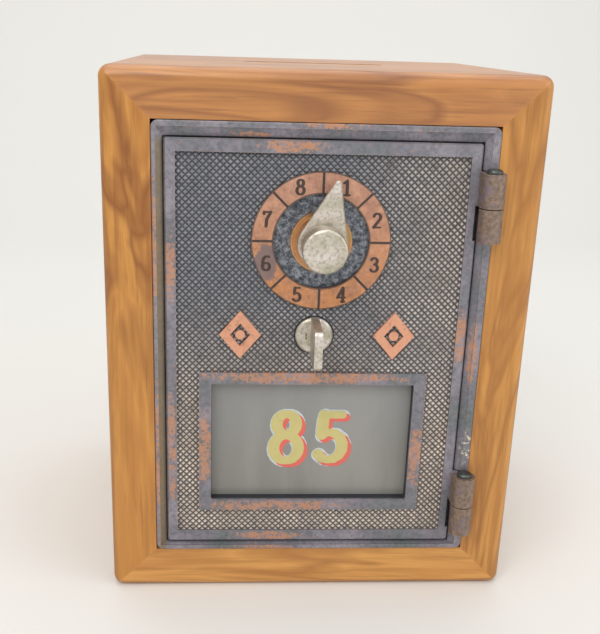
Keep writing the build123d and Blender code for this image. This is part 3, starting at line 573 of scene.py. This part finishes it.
def combine(piece, other, operation):
    """Boolean of a piece with a scratch object, which is removed."""
    modifier = piece.modifiers.new("cut", "BOOLEAN")
    modifier.operation = operation
    modifier.solver = "MANIFOLD"
    modifier.object = other
    bpy.context.view_layer.update()
    evaluated = piece.evaluated_get(bpy.context.evaluated_depsgraph_get())
    result = bpy.data.meshes.new_from_object(evaluated)
    piece.modifiers.clear()
    piece.data = result
    bpy.data.objects.remove(other)


def arc(cx, cz, rx, rz, start, end, steps=10):
    """Points on an elliptic arc, angles in degrees from +X towards +Z."""
    angles = [math.radians(start + (end - start) * i / steps) for i in range(steps + 1)]
    return [(cx + rx * math.cos(a), cz + rz * math.sin(a)) for a in angles]


def circle(x, z, radius, steps):
    """Closed outline, its last point one step short of the first."""
    return arc(x, z, radius, radius, 0, 360 - 360 / steps, steps - 1)


def rectangle(left, right, bottom, top):
    return [(left, bottom), (right, bottom), (right, top), (left, top)]


# Each numeral is a list of pen strokes in a box NUMERAL_WIDTH wide and 1 tall.
NUMERAL_WIDTH = 0.6
NUMERALS = {
    "1": [
        [(0.14, 0.80), (0.24, 0.86), (0.34, 0.98), (0.34, 0.04)],
        [(0.14, 0.03), (0.54, 0.03)],
    ],
    "2": [
        arc(0.30, 0.72, 0.22, 0.24, 165, -40) + [(0.10, 0.05)],
        [(0.07, 0.05), (0.54, 0.05)],
    ],
    "3": [arc(0.28, 0.74, 0.20, 0.22, 150, -85), arc(0.28, 0.28, 0.24, 0.25, 88, -150)],
    "4": [
        [(0.40, 0.98), (0.06, 0.32), (0.58, 0.32)],
        [(0.41, 0.97), (0.41, 0.03)],
        [(0.28, 0.03), (0.54, 0.03)],
    ],
    "5": [[(0.50, 0.95), (0.16, 0.95), (0.13, 0.55)] + arc(0.27, 0.32, 0.25, 0.28, 115, -145)],
    "6": [arc(0.36, 0.60, 0.28, 0.37, 65, 180) + arc(0.30, 0.28, 0.23, 0.25, 180, 540, 20)],
    "7": [[(0.09, 0.84), (0.10, 0.94), (0.53, 0.94), (0.27, 0.45), (0.24, 0.02)]],
    "8": [arc(0.30, 0.76, 0.18, 0.20, -90, 270, 20), arc(0.30, 0.28, 0.23, 0.26, 90, 450, 20)],
}


def pen_points(stroke):
    """The stroke's corners with points between them, about every 0.08 of the height."""
    dense = []
    for (ax, az), (bx, bz) in zip(stroke, stroke[1:]):
        parts = max(1, int(math.hypot(bx - ax, bz - az) / 0.08))
        dense += [(ax + (bx - ax) * k / parts, az + (bz - az) * k / parts) for k in range(parts)]
    dense.append(stroke[-1])
    return dense


def ribbon(points, size, thin, thick):
    """Left and right edges of one pen stroke, which is wider where it runs upright."""
    left, right = [], []
    for i, (x, z) in enumerate(points):
        before, after = points[max(i - 1, 0)], points[min(i + 1, len(points) - 1)]
        dx, dz = after[0] - before[0], after[1] - before[1]
        length = math.hypot(dx, dz) or 1.0
        dx, dz = dx / length, dz / length
        half = (thin + (thick - thin) * abs(dz)) / 2
        left.append((x * size - dz * half, z * size + dx * half))
        right.append((x * size + dz * half, z * size - dx * half))
    return left, right


def stroke_outlines(stroke, size, thin, thick):
    """A round dab at each pen point, and a bar from it to the next."""
    points = pen_points(stroke)
    left, right = ribbon(points, size, thin, thick)
    outlines = []
    for k, (x, z) in enumerate(points):
        half = math.hypot(left[k][0] - right[k][0], left[k][1] - right[k][1]) / 2
        outlines.append(circle(x * size, z * size, half, 20))
        if k + 1 < len(points):
            outlines.append([left[k], left[k + 1], right[k + 1], right[k]])
    return outlines


def numeral(digit, size, thin, thick, place, back, front):
    """Closed solid for one numeral with its lower left corner at place."""
    whole = None
    for stroke in NUMERALS[digit]:
        for outline in stroke_outlines(stroke, size, thin, thick):
            moved = [(place[0] + x, place[1] + z) for x, z in outline]
            solid = scratch_prism(moved, back, front)
            if whole is None:
                whole = solid
            else:
                combine(whole, solid, "UNION")
    return whole


def adopt(scratch, name, material, body):
    """Turns a scratch solid into a named piece."""
    scratch.name = name
    scratch.data.name = name
    scratch.data.materials.clear()
    scratch.data.materials.append(material)
    for polygon in scratch.data.polygons:
        polygon.use_smooth = False
        polygon.material_index = 0
    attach(scratch, body)


# ==== knurled field ====
knurl_half = 0.88 * MM  # from a pyramid's middle to its corner
knurl_height = 0.62 * MM
knurl_flat = 0.16  # worn flat of the tip, as a share of knurl_half
knurl_lean = 0.06 * MM
seat_sink = 0.05 * MM  # how far what sits on the field floor goes into it
round_steps = 96


def knurl_sheet():
    """Open sheet of pyramids on a diamond lattice over the whole field."""
    margin = 0.1 * MM
    columns = int((field_right - field_left + 2 * margin) / knurl_half) + 3
    rows = int((field_top - field_bottom + 2 * margin) / knurl_half) + 3
    corners, faces, vertices = {}, [], []

    def corner(i, j):
        """Valley point shared by neighbouring pyramids."""
        if (i, j) not in corners:
            corners[i, j] = len(vertices)
            vertices.append((
                field_left - margin + (i - 1) * knurl_half,
                field_floor - seat_sink * 2,
                field_bottom - margin + (j - 1) * knurl_half,
            ))
        return corners[i, j]

    for i in range(columns):
        for j in range(rows):
            if (i + j) % 2:
                continue
            ring = [corner(i + 1, j), corner(i, j + 1), corner(i - 1, j), corner(i, j - 1)]
            cx = field_left - margin + (i - 1) * knurl_half
            cz = field_bottom - margin + (j - 1) * knurl_half
            height = knurl_height * random.uniform(0.86, 1.0)
            flat = knurl_flat * random.uniform(0.7, 1.5)
            lean_x = random.uniform(-knurl_lean, knurl_lean)
            lean_z = random.uniform(-knurl_lean, knurl_lean)
            top = []
            for dx, dz in ((1, 0), (0, 1), (-1, 0), (0, -1)):
                top.append(len(vertices))
                vertices.append((
                    cx + dx * knurl_half * flat + lean_x,
                    field_floor - height,
                    cz + dz * knurl_half * flat + lean_z,
                ))
            faces.append(tuple(top))
            for k in range(4):
                faces.append((ring[k], ring[(k + 1) % 4], top[(k + 1) % 4], top[k]))
    return vertices, faces


def close_slab(vertices, faces):
    """Solid from the sheet of pyramids, with side walls and a back."""
    bm, mesh = sheet(vertices, faces)
    rim = [e for e in bm.edges if e.is_boundary]
    grown = bmesh.ops.extrude_edge_only(bm, edges=rim)["geom"]
    for v in grown:
        if isinstance(v, bmesh.types.BMVert):
            v.co.y = field_floor + seat_sink
    loop = [e for e in bm.edges if e.is_boundary]
    bmesh.ops.contextual_create(bm, geom=loop)
    return shown(bm, mesh)


def build_knurl(material):
    """Pyramids trimmed to the field, with holes for the ring, the thumb turn and the bezel."""
    slab = close_slab(*knurl_sheet())
    tuck = 0.06 * MM  # how far the pyramids run under the walls round them
    turn_gap = 0.45 * MM
    field = rectangle(field_left - tuck, field_right + tuck, field_bottom - tuck, field_top + tuck)
    deep, proud = field_floor + MM, field_floor - 2 * MM
    combine(slab, scratch_prism(field, field_floor + seat_sink / 2, proud), "INTERSECT")
    bezel = rectangle(bezel_left + tuck, bezel_right - tuck, bezel_bottom + tuck, bezel_top - tuck)
    holes = [
        circle(dial_x, dial_z, ring_outer - tuck, round_steps),
        circle(latch_x, latch_z, turn_radius + turn_gap, round_steps),
        bezel,
    ]
    for outline in holes:
        combine(slab, scratch_prism(outline, deep, proud), "DIFFERENCE")
    adopt(slab, "knurled_field", material, "door")


# ==== build the pieces ====
materials = {
    "frame": patinated_frame(),
    "door": patinated_door(),
    "knurl": knurled_metal(),
    "dial_floor": dial_floor_metal(),
    "ink": ink_metal(),
    "copper": worn_copper(),
    "nickel": nickel(),
    "brass": metal("lock_brass", srgb(186, 158, 104), srgb(128, 100, 60), 600),
    "iron": metal("lock_iron", srgb(92, 92, 96), srgb(52, 50, 52), 450, (0.5, 0.7), 0.5, 0.12 * MM),
    "screw_brass": metal("screw_brass", srgb(204, 178, 118), srgb(140, 112, 66), 800),
    "screw_steel": metal("screw_steel", srgb(176, 176, 178), srgb(118, 118, 120), 800),
    "dark_steel": metal("dark_steel", srgb(84, 88, 86), srgb(44, 50, 48), 500, (0.22, 0.4), 0.7),
    "glass": hazy_glass(),
    "gold": old_paint("gold_paint", srgb(200, 188, 124), srgb(158, 142, 92)),
    "red": old_paint("red_paint", srgb(222, 104, 92), srgb(178, 78, 68)),
    "pale": old_paint("pale_paint", srgb(196, 206, 212), srgb(150, 156, 160)),
}
# light, dark and line colours of each board's grain
left_tones = srgb(202, 141, 66), srgb(180, 117, 50), srgb(142, 84, 32)
right_tones = srgb(204, 144, 70), srgb(182, 120, 54), srgb(142, 84, 32)
top_tones = srgb(190, 128, 66), srgb(168, 104, 50), srgb(128, 72, 32)
bottom_tones = srgb(214, 155, 82), srgb(194, 133, 66), srgb(156, 98, 44)
back_tones = srgb(196, 150, 100), srgb(172, 124, 78), srgb(150, 104, 62)
board_wood = {
    "left_board": wood("left_wood", "Z", *left_tones, 1),
    "right_board": wood("right_wood", "Z", *right_tones, 2),
    "top_board": wood("top_wood", "X", *top_tones, 3, coat=0.6),
    "bottom_board": wood("bottom_wood", "X", *bottom_tones, 4),
    "back_panel": wood("back_wood", "Z", *back_tones, 9),
}
finish_of_slot = {
    "patinated_bronze": "frame",
    "worn_copper": "copper",
    "nickel": "nickel",
    "lock_brass": "brass",
    "lock_iron": "iron",
    "screw_brass": "screw_brass",
    "screw_steel": "screw_steel",
    "dark_steel": "dark_steel",
    "window_glass": "glass",
}
for part in frame["record"]["subparts"]:
    name, slot_name = part["node"], part["material_slot"]
    if name in board_wood:
        finish = board_wood[name]
    elif name == "door_plate":
        finish = materials["door"]
    else:
        finish = materials[finish_of_slot[slot_name]]
    node = frame["nodes"][name]
    node.data.materials.clear()
    node.data.materials.append(finish)

build_knurl(materials["knurl"])

# dial floor between the collar and the ring
floor_lift = 0.12 * MM
floor_overlap = 0.05 * MM
collar_low, collar_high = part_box("dial_bushing")
collar_radius = (collar_high.x - collar_low.x) / 2
disc = circle(dial_x, dial_z, ring_inner + floor_overlap, round_steps)
hole = circle(dial_x, dial_z, collar_radius - floor_overlap, round_steps)
dial_floor = scratch_prism(disc, field_floor + seat_sink, field_floor - floor_lift)
combine(dial_floor, scratch_prism(hole, field_floor + MM, field_floor - MM), "DIFFERENCE")
adopt(dial_floor, "dial_floor", materials["dial_floor"], "door")

# dividers and numerals on the ring, one numeral midway between each two dividers
sectors = 8
sector = 360 / sectors  # degrees
ink_sink, ink_rise = 0.02 * MM, 0.05 * MM
ink_back, ink_front = door_front + ink_sink, door_front - ink_rise
ring_middle = (ring_inner + ring_outer) / 2
divider_half = 0.32 * MM
divider_start, divider_end = ring_inner + 0.1 * MM, ring_outer - 0.15 * MM
for k in range(sectors):
    angle = math.radians(90 - sector * k)
    across = Vector((-math.sin(angle), math.cos(angle))) * divider_half
    inner = Vector((math.cos(angle), math.sin(angle))) * divider_start
    outer = Vector((math.cos(angle), math.sin(angle))) * divider_end
    corners = (inner - across, outer - across, outer + across, inner + across)
    bar = scratch_prism([(dial_x + p.x, dial_z + p.y) for p in corners], ink_back, ink_front)
    adopt(bar, f"dial_divider_{k + 1}", materials["ink"], "door")
numeral_height = 4.0 * MM
numeral_thin, numeral_thick = 0.48 * MM, 0.86 * MM
for k in range(sectors):
    angle = math.radians(90 - sector * (k + 0.5))
    place = (
        dial_x + ring_middle * math.cos(angle) - NUMERAL_WIDTH / 2 * numeral_height,
        dial_z + ring_middle * math.sin(angle) - numeral_height / 2,
    )
    pen = (numeral_height, numeral_thin, numeral_thick)
    shape = numeral(str(k + 1), *pen, place, ink_back, ink_front)
    adopt(shape, f"dial_numeral_{k + 1}", materials["ink"], "door")

# number painted on the glass: pale outline, red shadow, gold face
number_height = 15.4 * MM
number_bottom = 39.0 * MM
digit_left = {"8": -12.4 * MM, "5": 0.3 * MM}
paint = 0.05 * MM
stroke_thin, stroke_thick = 2.3 * MM, 3.3 * MM
# material, piece, shift in X and Z, extra stroke width; each layer is one paint thicker
paint_layers = [
    ("pale", "number_outline", (0.35 * MM, -0.3 * MM), 1.3 * MM),
    ("red", "number_shadow", (0.95 * MM, -0.85 * MM), 0.2 * MM),
    ("gold", "number_face", (0.0, 0.0), 0.0),
]
for digit, left in digit_left.items():
    for level, (paint_name, piece_name, (dx, dz), extra) in enumerate(paint_layers, 1):
        pen = (number_height, stroke_thin + extra, stroke_thick + extra)
        place = (left + dx, number_bottom + dz)
        shape = numeral(digit, *pen, place, glass_front + ink_sink, glass_front - level * paint)
        adopt(shape, f"{piece_name}_{digit}", materials[paint_name], "door")

# ==== floor, light and camera ====


def studio_floor():
    """Pale table top that curves up into a backdrop."""
    n = Nodes("floor")
    tone = n.noise(3, 2)
    pale = n.mix(tone, srgb(229, 228, 225), srgb(233, 232, 229))
    diffuse = n.tree.nodes.new("ShaderNodeBsdfDiffuse")
    n.put(diffuse.inputs["Color"], pale)
    n.tree.links.new(diffuse.outputs[0], n.out.inputs["Surface"])
    half_width, front, back, top, bend = 1.6, -1.2, 0.75, 1.1, 0.35
    turns = [math.radians(a) for a in range(0, 91, 6)]
    curve = [(back - bend + bend * math.sin(a), bend - bend * math.cos(a)) for a in turns]
    profile = [(front, 0.0)] + curve + [(back, top)]
    vertices = [(x, y, z) for x in (-half_width, half_width) for y, z in profile]
    count = len(profile)
    faces = [(i, i + 1, i + 1 + count, i + count) for i in range(count - 1)]
    mesh = bpy.data.meshes.new("studio_floor")
    mesh.from_pydata(vertices, [], faces)
    mesh.materials.append(n.material)
    for polygon in mesh.polygons:
        polygon.use_smooth = True
    floor = bpy.data.objects.new("studio_floor", mesh)
    bpy.context.scene.collection.objects.link(floor)


def area_light(name, place, target, size, power, colour=(1.0, 1.0, 1.0)):
    """Rectangular lamp that faces a target. Power in watts."""
    data = bpy.data.lights.new(name, "AREA")
    data.shape = "RECTANGLE"
    data.size, data.size_y = size
    data.energy = power
    data.color = colour
    lamp = bpy.data.objects.new(name, data)
    lamp.location = place
    lamp.rotation_euler = (Vector(target) - Vector(place)).to_track_quat("-Z", "Y").to_euler()
    bpy.context.scene.collection.objects.link(lamp)


def studio_camera():
    """Camera a little left of the door and above it, looking down. Its place, turn, lens and shift
    were fitted to the corners of the case and frame and to the number ring."""
    data = bpy.data.cameras.new("camera")
    data.sensor_width = 36.0
    data.lens = 50.46
    data.shift_x = 0.0295
    data.shift_y = 0.0044
    data.clip_start = 0.01
    look = Vector((0.05934, 0.95016, -0.30608)).normalized()
    right = Vector((0.99818, -0.0532, 0.02835)).normalized()
    up = right.cross(look)
    turn = Matrix((right, up, -look)).transposed()
    place = (-0.02444, -0.27632, 0.15526)
    camera = bpy.data.objects.new("camera", data)
    camera.matrix_world = Matrix.Translation(place) @ turn.to_4x4()
    bpy.context.scene.collection.objects.link(camera)
    bpy.context.scene.camera = camera


def pale_world():
    """Soft light from all round, and a paler backdrop for camera, glossy and transmission rays."""
    ambient, seen = 0.45, 1.0
    world = bpy.data.worlds.new("world")
    world.use_nodes = True
    tree = world.node_tree
    background = tree.nodes["Background"]
    background.inputs["Color"].default_value = srgb(240, 240, 237)
    rays = tree.nodes.new("ShaderNodeLightPath").outputs
    either = rays["Is Camera Ray"]
    for ray in ("Is Glossy Ray", "Is Transmission Ray"):
        most = tree.nodes.new("ShaderNodeMath")
        most.operation = "MAXIMUM"
        tree.links.new(either, most.inputs[0])
        tree.links.new(rays[ray], most.inputs[1])
        either = most.outputs[0]
    strength = tree.nodes.new("ShaderNodeMapRange")
    tree.links.new(either, strength.inputs["Value"])
    strength.inputs["To Min"].default_value = ambient
    strength.inputs["To Max"].default_value = seen
    tree.links.new(strength.outputs[0], background.inputs["Strength"])
    return world


studio_floor()
middle = (0.0, 0.0, 0.07)
area_light("key", (-0.35, -0.75, 0.85), middle, (0.9, 0.7), 6.4, (1.0, 0.98, 0.95))
area_light("fill", (0.75, -0.55, 0.45), middle, (0.8, 0.8), 3.2, (0.96, 0.98, 1.0))
area_light("top", (0.0, 0.15, 1.0), middle, (1.0, 0.8), 4.6)
studio_camera()

bpy.context.scene.world = pale_world()
bpy.context.scene.view_settings.view_transform = "Standard"
